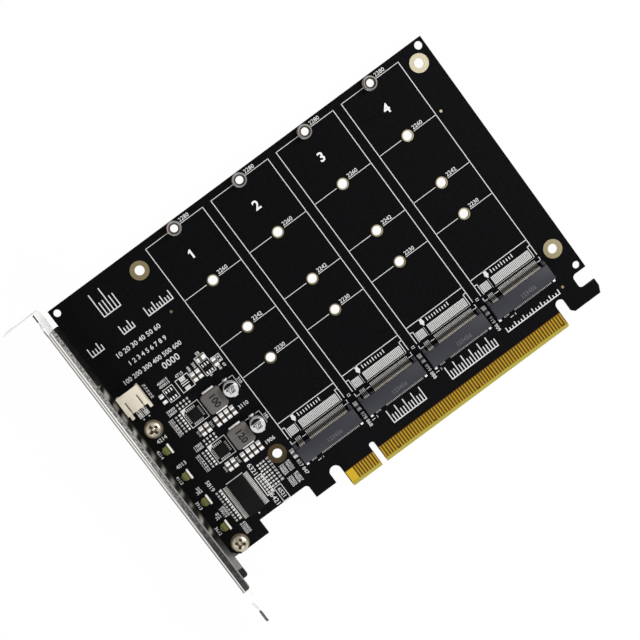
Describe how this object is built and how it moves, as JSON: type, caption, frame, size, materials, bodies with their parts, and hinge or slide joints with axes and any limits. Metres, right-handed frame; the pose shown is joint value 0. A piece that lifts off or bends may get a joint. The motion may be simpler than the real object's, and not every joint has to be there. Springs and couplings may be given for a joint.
{
  "type": "nvme adapter card",
  "caption": "Flat circuit card with a gold edge, sockets and screw rows for flat solid-state drives, a vented slot bracket and a power corner.",
  "frame": {"origin": "component face of the board, on the centre line of the key notch, at the tip of the gold edge", "axes": "+X along the gold edge, away from the slot bracket; +Y up the card, away from the gold edge; +Z out of the component face"},
  "size_m": [0.1562, 0.1201, 0.02],
  "materials": {
    "board": "matt black solder mask over glass laminate",
    "gold": "hard gold plating",
    "bracket_steel": "nickel-plated sheet steel",
    "screw_nickel": "nickel-plated steel",
    "tin_nut": "tin-plated steel",
    "header_nylon": "cream nylon",
    "tin": "bright tin plating",
    "lamp_white": "white moulding",
    "lamp_lens": "tinted clear resin",
    "chip_black": "black moulding compound",
    "coil_grey": "pressed grey powder core",
    "base_black": "black moulding",
    "can_aluminium": "drawn aluminium",
    "ceramic_tan": "fired ceramic",
    "resistor_black": "black glaze",
    "socket_plastic": "dark grey high-temperature moulding",
    "contact_tin": "gold-flashed, tinned legs"
  },
  "bodies": {
    "root": {"bracket_screws": "screw_nickel", "can_capacitor_bases": "base_black", "can_capacitor_bodies": "can_aluminium", "can_capacitor_leads": "tin", "ceramic_capacitor_bodies": "ceramic_tan", "ceramic_capacitor_ends": "tin", "circuit_board": "board", "clock_chip_body": "chip_black", "clock_chip_leads": "tin", "drive_socket_1_contacts": "contact_tin", "drive_socket_1_holddowns": "tin", "drive_socket_1_housing": "socket_plastic", "drive_socket_2_contacts": "contact_tin", "drive_socket_2_holddowns": "tin", "drive_socket_2_housing": "socket_plastic", "drive_socket_3_contacts": "contact_tin", "drive_socket_3_holddowns": "tin", "drive_socket_3_housing": "socket_plastic", "drive_socket_4_contacts": "contact_tin", "drive_socket_4_holddowns": "tin", "drive_socket_4_housing": "socket_plastic", "drive_standoffs": "tin_nut", "driver_chip_bodies": "chip_black", "driver_chip_leads": "tin", "edge_fingers_back": "gold", "edge_fingers_front": "gold", "inductor_cores": "coil_grey", "inductor_terminals": "tin", "lamp_bases": "lamp_white", "lamp_lenses": "lamp_lens", "large_resistor_body": "resistor_black", "large_resistor_ends": "tin", "power_header_housing": "header_nylon", "power_header_pins": "tin", "regulator_chips": "chip_black", "slot_bracket": "bracket_steel"}
  },
  "joints": []
}
